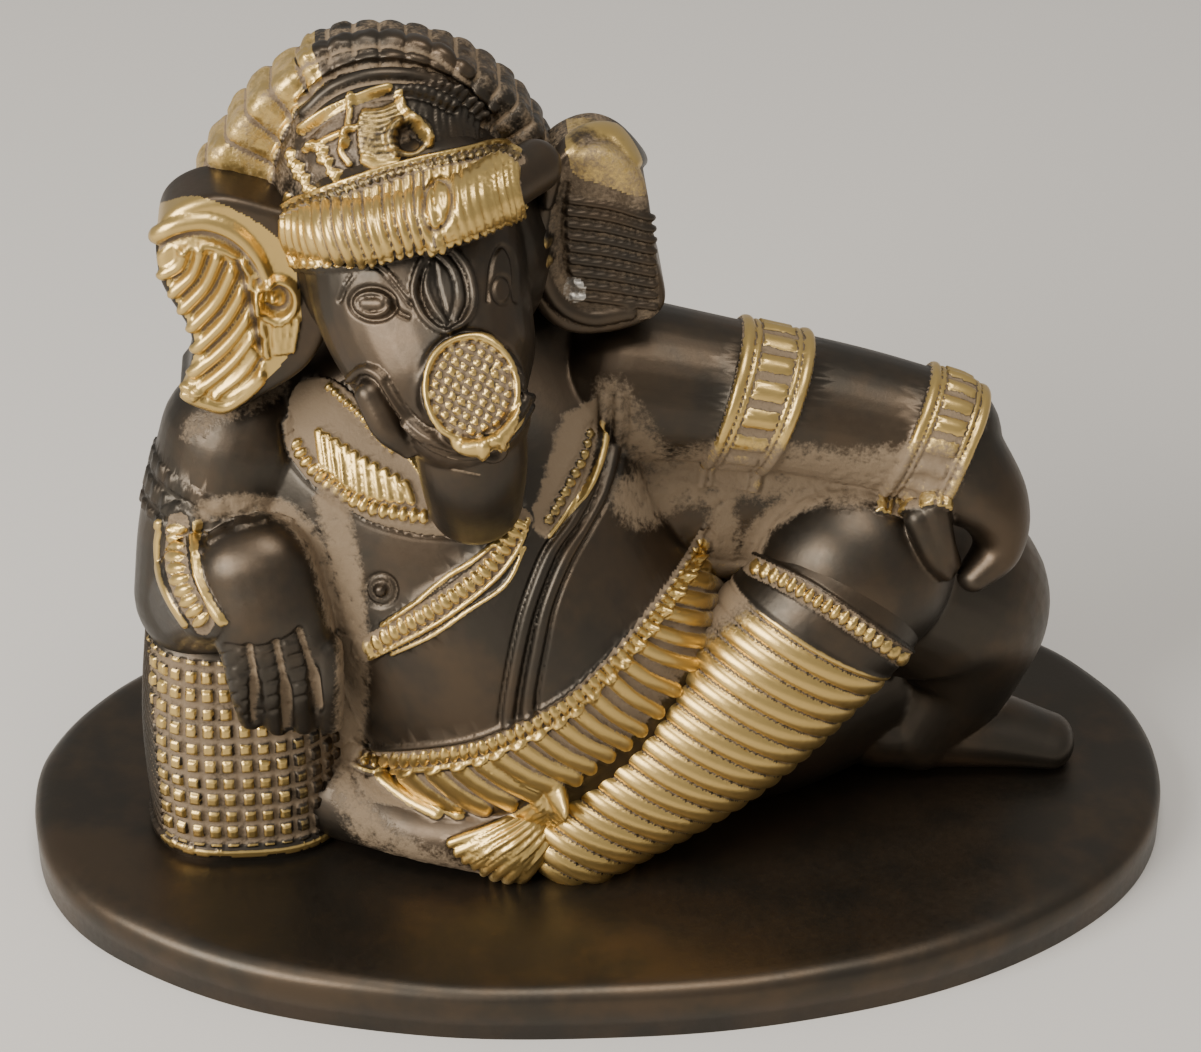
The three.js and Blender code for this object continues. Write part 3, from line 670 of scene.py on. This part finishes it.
def face(skin):
    disc = (-12.0, 12.7)
    hatch = skin.within(loop(disc, 3.95, 4.55, 8))
    u, v = (skin.card[hatch] - disc).T
    lines = np.maximum(*(np.abs(((u * math.cos(a) + v * math.sin(a)) / 0.95) % 1 - 0.5) * 2
                         for a in (math.radians(-22), math.radians(58))))
    skin.height[hatch] += 0.5 - 0.35 * (lines > 0.62)
    skin.gold[hatch] = 0.95 * (lines < 0.68)
    skin.dirt[hatch] = 0.7 * (lines > 0.68)
    skin.ridge(loop(disc, 4.3, 4.9, 8), 0.75, 0.6, 0.7)
    skin.groove(loop(disc, 3.85, 4.45, 8), 0.35, 0.3, 0.7)
    skin.groove(loop(disc, 4.85, 5.5, 8), 0.45, 0.3, 0.2)
    mark_left = [(-15.5, 26.6), (-16.7, 24.6), (-17.4, 22.0), (-16.7, 19.9), (-15.5, 18.6), (-14.1, 18.0)]
    mark_right = [(-15.5, 26.6), (-13.5, 25.5), (-12.2, 23.5), (-11.8, 21.0), (-12.5, 19.2), (-14.1, 18.0)]
    for edge in (mark_left, mark_right):
        skin.ridge(edge, 0.8, 0.4)
        skin.groove([(u + (0.62 if edge is mark_left else -0.62), v) for u, v in edge[1:-1]], 0.35, 0.3, 0.3)
    skin.groove([(-15.5, 25.3), (-15.2, 22.9), (-14.7, 20.9), (-14.1, 19.0)], 0.35, 0.25, 0.2)
    skin.groove([(-15.5, 25.3), (-14.1, 23.8), (-13.5, 21.6), (-14.0, 19.2)], 0.35, 0.25, 0.2)
    skin.ridge([(-16.1, 24.6), (-16.2, 22.4), (-15.5, 20.5), (-14.4, 19.0)], 0.7, 0.25)
    eye = (-21.2, 20.7)
    skin.ridge(loop(eye, 1.55, 1.0, -4), 0.5, 0.3)
    skin.ridge([(eye[0] - 0.7, eye[1]), (eye[0] + 0.7, eye[1])], 1.3, 0.35)
    skin.groove(loop(eye, 2.15, 1.55, -6), 0.4, 0.28, 0.2)
    skin.groove([(-24.3, 21.0), (-23.3, 23.1), (-21.6, 24.2), (-20.0, 23.6), (-18.7, 22.0), (-17.6, 20.6)], 0.4, 0.28, 0.2)
    skin.ridge([(-23.8, 22.2), (-22.6, 23.8), (-20.9, 24.4), (-19.4, 23.1), (-17.9, 21.2)], 0.5, 0.3)
    skin.groove([(-19.4, 20.7), (-18.7, 19.9), (-17.9, 19.5)], 0.5, 0.35, 0.1)
    far_eye = (-9.1, 22.0)
    skin.groove([(-10.5, 21.0), (-10.1, 24.6), (-9.1, 26.1), (-8.1, 24.6), (-7.9, 21.0)], 0.4, 0.28, 0.1)
    skin.groove(loop(far_eye, 0.9, 1.3), 0.35, 0.25, 0.1)
    lip = [(-23.1, 13.8), (-22.0, 14.6), (-20.7, 14.2), (-19.6, 12.7), (-18.6, 11.0), (-17.4, 9.5), (-15.7, 8.2), (-13.1, 7.4), (-10.3, 8.0), (-8.0, 9.9),
           (-6.8, 11.9)]
    skin.ridge(lip, 1.0, 0.6)
    skin.ridge([(u + 0.2, v - 0.9) for u, v in lip[4:]], 0.6, 0.4)
    skin.groove([(u - 0.2, v + 0.75) for u, v in lip[3:]], 0.4, 0.3, 0.1)
    curl = (-10.1, 7.3)
    skin.ridge(loop(curl, 1.15, 1.1), 0.55, 0.4)
    skin.groove(loop(curl, 0.6, 0.6), 0.5, 0.35, 0.3)
    for k in range(3):
        skin.groove([(-14.2, 6.6), (-12.2, 6.1), (-10.5, 5.6)][:2] if k == 0 else [(-13.8, 5.2), (-11.2, 4.7)], 0.3, 0.06)


HEADBAND_FOOT = [(-28.7, 24.6), (-26.3, 24.4), (-22.4, 24.8), (-18.7, 25.7), (-14.9, 26.6), (-11.7, 27.6), (-8.9, 28.9), (-7.3, 29.9)]
HEADBAND_TOP = [(-29.6, 28.3), (-27.4, 29.4), (-23.8, 30.5), (-19.8, 31.7), (-15.9, 33.0), (-12.3, 33.5), (-9.4, 34.1), (-7.7, 33.0)]


def headband(skin):
    band = skin.within(HEADBAND_FOOT + HEADBAND_TOP[::-1])
    skin.dirt[band] = 0.8
    skin.fan(HEADBAND_TOP, HEADBAND_FOOT, 29, 0.86, 0.5, 1.0, 0.35)
    skin.ridge([(u, v - 0.5) for u, v in HEADBAND_FOOT], 0.7, 0.35, 0.25)
    gem = (-15.2, 29.8)
    skin.groove(loop(gem, 1.3, 2.3, -10), 0.5, 0.5, 0.8)
    lens = skin.within(loop(gem, 1.1, 2.0, -10))
    skin.gold[lens] = 0.8
    skin.dirt[lens] = 0.1
    row = [(-29.5, 29.1), (-27.5, 30.1), (-23.8, 31.5), (-19.8, 32.8), (-15.9, 33.8), (-12.6, 34.5), (-9.4, 35.2), (-7.5, 34.3)]
    strip = skin.within(row + HEADBAND_TOP[::-1])
    skin.dirt[strip] = 0.55
    skin.pearls([(u, v - 0.15) for u, v in row], 0.75, 0.95, 0.35, 0.45, 0.8)
    skin.ridge([(u, v + 0.55) for u, v in row], 0.5, 0.35, 0.7)


def head():
    x, y, z = HEAD
    bm = bmesh.new()
    ball(bm, (x - 0.5, y, z), (11.5, 10.5, 12), roll=HEAD_ROLL)
    limb(bm, [[x - 1.2, y - 2.5, z + 4, 9.4, 8], [x - 0.4, y - 6.5, z - 1.5, 9.2, 8],
              [x + 1.6, y - 11, z - 6.5, 7.6, 7.4], [x + 2.8, y - 13.5, z - 9, 5.4, 6]], squareness=2.4)
    limb(bm, [[x + 3, y - 13.5, z - 9, 4.9, 4.8], [x + 3.3, y - 13.5, z - 14, 4.7, 4.4],
              [x + 3.5, y - 10, z - 20, 4.2, 4]])
    limb(bm, [[-27, -6, 69.5, 2.3, 2.3], [-22, -15, 72.6, 2.4, 2.4], [-17.5, -16.8, 74, 2.4, 2.4],
              [-12.5, -16.4, 75.2, 2.4, 2.4], [-6.2, -10, 75.6, 2.3, 2.3]])
    limb(bm, [[-20.6, -21, 60.6, 1.3, 1.3], [-19.2, -22, 58, 1.4, 1.4], [-17.6, -22, 55.6, 0.7, 0.7]], around=20)
    tilt = Matrix.Translation((-12.2, -23.2, 62)) @ Matrix.Rotation(math.radians(57), 4, "X")
    bmesh.ops.create_cone(bm, cap_ends=True, segments=64, radius1=4.6, radius2=4.4, depth=1.6, matrix=tilt)
    skin = Skin(bm, VOXEL, 8)
    face(skin)
    headband(skin)
    return skin.finish("head")


head()


# The headdress: a dome with a flared rim that stands up behind it.
BRIM_CENTRE = (-19.2, 68.6)
BRIM_RADIUS, BRIM_FRONT, BRIM_BACK, BRIM_DIP = 15.6, -4.5, 1.5, 0.95


def plate(bm, outline, front, back, bevel):
    """A plate with its outline in the front view, from y = front to y = back, its edges rounded"""
    line = smooth_line(outline + outline[:1], 12 * len(outline))[:-1]
    verts = [bm.verts.new((x, front, z)) for x, z in line]
    face = bm.faces.new(verts)
    made = bmesh.ops.extrude_face_region(bm, geom=[face])
    top = [v for v in made["geom"] if isinstance(v, bmesh.types.BMVert)]
    bmesh.ops.translate(bm, vec=(0, back - front, 0), verts=top)
    rims = [e for v in verts + top for e in v.link_edges if e.other_vert(v).co.y == v.co.y]
    bmesh.ops.bevel(bm, geom=list(set(rims)), offset=bevel, segments=3, affect="EDGES", profile=0.5, material=-1)


def rays(skin):
    """Bold ribs that run out over the rim, rubbed bright on its left and fine and dark elsewhere"""
    x, z = skin.at[:, 0] - BRIM_CENTRE[0], skin.at[:, 2] - BRIM_CENTRE[1]
    reach, turn = np.hypot(x, z), np.degrees(np.arctan2(z, x))
    rim = (skin.at[:, 1] < BRIM_BACK) & (skin.at[:, 1] > BRIM_FRONT - 0.8) & (skin.out[:, 1] < 0.6)
    rim &= (reach > BRIM_RADIUS * 0.55) & (z > -6)
    pitch = np.where(turn > 110, 11.5, 8.0)
    rib = np.sqrt(np.clip(1 - (np.abs(turn / pitch % 1 - 0.5) * 2) ** 2.5, 0, 1))
    rough = crumbs(skin.at, 1.3)
    skin.height += rim * (0.75 * (rib - 0.5) * (0.6 + 0.4 * (turn > 110)) + 0.2 * (rough - 0.5))
    skin.gold = np.maximum(skin.gold, rim * (turn > 108) * (rib > 0.5) * (0.55 + 0.5 * rough))
    skin.dirt = np.maximum(skin.dirt, rim * (rib < 0.55) * 0.8)


def dome(skin):
    crown = skin.at[:, 1] < 2
    left = (skin.card[:, 0] < ((-19.4, 37.8))[0]) & crown
    skin.dirt = np.maximum(skin.dirt, crown * 0.42 * (0.5 + crumbs(skin.at, 1.2)))
    arcs = [[(-28.0, 40.0), (-25.2, 42.5), (-21.3, 43.6), (-16.8, 43.4), (-12.9, 41.7), (-10.1, 38.9)],
            [(-27.6, 38.5), (-24.7, 41.0), (-21.0, 42.1), (-16.8, 41.9), (-13.3, 40.4), (-10.8, 38.0)],
            [(-27.4, 37.1), (-24.4, 39.5), (-20.7, 40.6), (-16.8, 40.4), (-13.8, 39.1)],
            [(-28.0, 43.2), (-24.4, 44.9), (-20.1, 45.4), (-15.9, 44.5), (-12.2, 42.1)]]
    for i, arc in enumerate(arcs):
        skin.ridge(arc, 1.0, 0.45, 0.25 if i else 0.1)
        skin.groove([(u, v - 0.75) for u, v in arc], 0.5, 0.25, 0.8)
    skin.ridge([(-27.8, 36.7), (-25.0, 38.5), (-21.8, 39.9), (-19.8, 40.6)], 0.8, 0.45, 0.9)
    skin.ridge([(-27.4, 35.0), (-25.2, 36.1), (-22.8, 37.1)], 0.7, 0.4, 0.8)
    skin.fan([(-22.0, 38.7), (-22.4, 36.9), (-22.2, 34.5)], [(-18.7, 39.7), (-18.9, 37.1), (-19.2, 34.1)], 9, 0.7, 0.35, 0.5, 0.3)
    skin.fan([(-18.7, 40.4), (-16.1, 41.0), (-13.3, 40.2), (-10.8, 38.0)], [(-17.7, 37.1), (-15.9, 35.9), (-13.5, 35.6), (-11.4, 35.4)], 12, 0.7, 0.35, 0.25, 0.3)
    skin.ridge([(-23.1, 39.9), (-23.5, 37.2), (-24.1, 35.0), (-23.3, 33.7)], 0.7, 0.4, 0.7)
    plume = (-17.9, 36.1)
    skin.ridge(loop(plume, 1.7, 1.6), 1.0, 0.6, 0.45)
    skin.groove(loop(plume, 0.6, 0.6), 1.0, 0.6, 0.5)
    skin.ridge([(-18.9, 40.0), (-18.3, 38.5), (-17.0, 36.9), (-15.9, 35.4)], 0.8, 0.5, 0.95)
    skin.ridge([(-21.8, 34.1), (-20.7, 33.5), (-19.0, 33.7)], 1.3, 0.5, 1.0)
    for k in range(34):
        a, b = (k * 0.618034) % 1, (k * 0.754877) % 1
        spot = ((1 - a) * ((-29.1, 29.9))[0] + a * ((-23.5, 35.0))[0], ((-28.0, 30.4))[1] + b * 5.0 + a * 0.8)
        skin.ridge([spot, (spot[0] + 0.12, spot[1] + 0.45)], 0.62, 0.42, 0.95)


def headdress():
    x, y, z = HEAD
    bm = bmesh.new()
    ball(bm, (x - 2.5, y + 4.5, z + 3.3), (10.8, 12.5, 14), roll=HEAD_ROLL * 0.6, back=0.6)
    outline = []
    for i in range(24):
        angle = 2 * math.pi * i / 24
        wide = BRIM_RADIUS * (BRIM_DIP if 1.9 < angle < 2.7 else 1)
        tall = wide if math.sin(angle) > 0 else wide * 0.7
        outline.append((BRIM_CENTRE[0] + wide * math.cos(angle), BRIM_CENTRE[1] + tall * math.sin(angle)))
    plate(bm, outline, BRIM_FRONT, BRIM_BACK, 0.8)
    skin = Skin(bm, VOXEL, 6)
    rays(skin)
    dome(skin)
    return skin.finish("headdress")


headdress()


# The ears: broad thick leaves with rolled rims and slanting ribs, a ring hanging in the left one.
def left_ear(skin):
    face_of_it = skin.within([(-41.8, 29.9), (-37.3, 30.7), (-31.5, 28.0), (-28.7, 24.8), (-28.0, 18.2), (-31.0, 13.6), (-35.0, 10.6), (-39.2, 11.9),
                              (-37.7, 16.9), (-40.1, 22.0), (-41.7, 25.7)])
    skin.gold[face_of_it] = 0.75
    skin.dirt[face_of_it] = 0.35 * crumbs(skin.at[face_of_it], 1.2)
    rim = [(-41.2, 27.0), (-39.5, 27.9), (-36.9, 28.3), (-34.3, 27.4), (-32.4, 25.5), (-31.1, 22.7)]
    skin.ridge(rim, 1.7, 0.7, 1.0)
    skin.groove([(u - 0.1, v - 1.15) for u, v in rim], 0.8, 0.5, 0.9)
    skin.ridge([(u + 0.2, v - 2.2) for u, v in rim[1:-1]], 0.7, 0.4, 0.7)
    tops = [(-38.8, 25.5), (-37.3, 25.5), (-35.7, 25.0), (-34.3, 23.8), (-33.2, 22.2), (-32.4, 20.1), (-32.3, 17.9), (-32.2, 16.2)]
    feet = [(-40.6, 23.5), (-39.7, 21.8), (-38.8, 20.3), (-37.9, 18.6), (-37.5, 16.6), (-37.8, 14.3), (-37.7, 12.5), (-35.8, 12.5)]
    for top, foot in zip(tops, feet):
        bend = ((top[0] + foot[0]) / 2 + 0.35, (top[1] + foot[1]) / 2 - 0.25)
        skin.ridge([top, bend, foot], 1.15, 0.6, 1.0)
        skin.groove([(u + 0.85, v - 0.5) for u, v in (top, bend, foot)], 0.5, 0.3, 0.8)
    skin.groove([(-33.8, 24.6), (-33.0, 22.2), (-32.3, 19.4), (-31.7, 16.4)], 0.7, 0.5, 0.85)
    skin.ridge([(-33.2, 24.6), (-32.1, 21.0), (-31.5, 18.2), (-31.1, 15.8)], 0.8, 0.45, 0.8)
    ring = (-30.1, 21.1)
    skin.ridge(loop(ring, 1.75, 1.85), 0.9, 0.7, 0.9)
    skin.groove(loop(ring, 1.0, 1.05), 0.7, 0.5, 0.8)
    skin.ridge([(ring[0] - 0.75, ring[1] + 0.1), (ring[0] - 0.65, ring[1] + 0.1)], 1.3, 0.6, 0.9)
    skin.fan([(-30.6, 18.8), (-29.3, 19.0), (-27.8, 19.2)], [(-30.4, 16.2), (-29.5, 16.2), (-28.4, 16.4)], 4, 0.6, 0.35, 0.9)
    tip = [(-38.8, 12.1), (-36.7, 11.4), (-35.1, 11.0), (-33.4, 11.9), (-31.9, 13.2), (-31.5, 14.0)]
    skin.ridge(tip, 0.9, 0.4, 1.0)
    skin.ridge([(u, v + 0.9) for u, v in tip], 0.7, 0.3, 0.85)


# The right ear: brass only on its top is painted light, where the top catches the light; the ribs and the rest are left
# dark patina, which is painted shade, where the head shades the ear. The dry earth on it is its own.
def right_ear(skin):
    flesh = skin.within([(-5.1, 37.3), (-0.0, 38.5), (3.7, 35.0), (5.5, 21.0), (3.7, 19.2), (-2.4, 18.7), (-5.6, 22.9)])
    skin.dirt[flesh] = 0.38 + 0.25 * crumbs(skin.at[flesh], 0.8)
    # Ribs with almost no brass: painted shade, where the head shades the ear.
    for k in range(9):
        low = k * 1.12
        skin.ridge([((-3.2, 30.4)[0] + 0.08 * k, (-3.2, 30.4)[1] - low), ((0.9, 29.8)[0], (0.9, 29.8)[1] - low * 0.98),
                    ((4.6, 28.7)[0] + 0.05 * k, (4.6, 28.7)[1] - low * 0.92)], 0.75, 0.45, 0.12)
    skin.ridge([(3.7, 34.1), (1.1, 36.7), (-1.9, 36.3), (-4.1, 33.7), (-4.9, 30.4)], 1.4, 0.55, 0.1)
    skin.ridge([(-4.5, 32.2), (-5.4, 29.0), (-5.6, 24.6), (-4.1, 21.0), (-1.0, 19.4), (2.7, 19.9)], 1.5, 0.55, 0.0)
    skin.groove([(-3.2, 31.7), (-3.8, 28.5), (-3.6, 24.6), (-2.5, 21.8)], 0.7, 0.4, 0.5)
    # Brass on the ear's top: painted light, where the top catches the light.
    bright = skin.within([(-3.2, 38.0), (0.4, 37.8), (2.9, 35.0), (4.2, 30.7), (-0.0, 31.8), (-2.7, 33.0)])
    skin.gold[bright] = 0.35 + 0.5 * crumbs(skin.at[bright], 0.5)
    for knob in ((-5.3, 26.8), (-5.2, 25.1)):
        skin.ridge([knob, (knob[0] + 0.1, knob[1])], 1.7, 0.9, 0.5)
    spot = skin.within(loop((-2.4, 22.0), 1.1, 1.2))
    skin.pale[spot] = 0.8


def ears():
    bm = bmesh.new()
    plate(bm, [(-27, 72), (-33, 73.6), (-37.4, 71.4), (-38, 66), (-35.8, 60.5), (-36.2, 56.5), (-37, 54.6),
               (-33.5, 52.6), (-30.5, 53.8), (-25.5, 57.5), (-23.5, 64)], -10, -3, 0.8)
    plate(bm, [(-7, 71), (-4, 74.8), (-0.3, 75.8), (3, 73), (4.2, 66), (5, 60.5), (1, 58.2), (-4, 58.5),
               (-7, 63)], -8, 0, 0.8)
    skin = Skin(bm, VOXEL, 6)
    left_ear(skin)
    right_ear(skin)
    return skin.finish("ears")


ears()


# A plain pale floor, soft light from the left in front, and the camera at the figure's own view.
def studio():
    floor_mat = bpy.data.materials.new("floor")
    floor_mat.use_nodes = True
    floor_mat.node_tree.nodes["Principled BSDF"].inputs["Base Color"].default_value = (0.62, 0.60, 0.57, 1)
    floor_mat.node_tree.nodes["Principled BSDF"].inputs["Roughness"].default_value = 0.7
    bm = bmesh.new()
    bmesh.ops.create_grid(bm, x_segments=2, y_segments=2, size=3)
    mesh = bpy.data.meshes.new("floor")
    bm.to_mesh(mesh)
    bm.free()
    mesh.materials.append(floor_mat)
    floor = bpy.data.objects.new("floor", mesh)
    bpy.context.scene.collection.objects.link(floor)

    world = bpy.data.worlds.new("room")
    world.use_nodes = True
    world.node_tree.nodes["Background"].inputs["Color"].default_value = (0.80, 0.78, 0.75, 1)
    world.node_tree.nodes["Background"].inputs["Strength"].default_value = 0.55
    bpy.context.scene.world = world

    def soft_box(name, azimuth, elevation, distance, size, power, colour):
        light = bpy.data.lights.new(name, "AREA")
        light.shape = "RECTANGLE"
        light.size, light.size_y = size
        light.energy = power
        light.color = colour
        lamp = bpy.data.objects.new(name, light)
        bpy.context.scene.collection.objects.link(lamp)
        a, e = math.radians(azimuth), math.radians(elevation)
        away = Vector((math.sin(a) * math.cos(e), -math.cos(a) * math.cos(e), math.sin(e)))
        lamp.location = Vector(VIEW_TARGET) * MM + away * distance
        lamp.rotation_euler = away.to_track_quat("Z", "Y").to_euler()

    soft_box("window", -55, 28, 0.60, (0.40, 0.30), 5.0, (1.0, 0.96, 0.90))
    soft_box("ceiling", 10, 75, 0.70, (0.35, 0.35), 3.0, (1.0, 0.95, 0.88))

    camera = bpy.data.cameras.new("camera")
    camera.sensor_width = 36
    camera.lens = 96.58
    camera.clip_start = 0.01
    viewer = bpy.data.objects.new("camera", camera)
    bpy.context.scene.collection.objects.link(viewer)
    viewer.location = Vector(VIEW_EYE) * MM
    viewer.rotation_euler = Vector(VIEW_BACK).to_track_quat("Z", "Y").to_euler()
    bpy.context.scene.camera = viewer


studio()
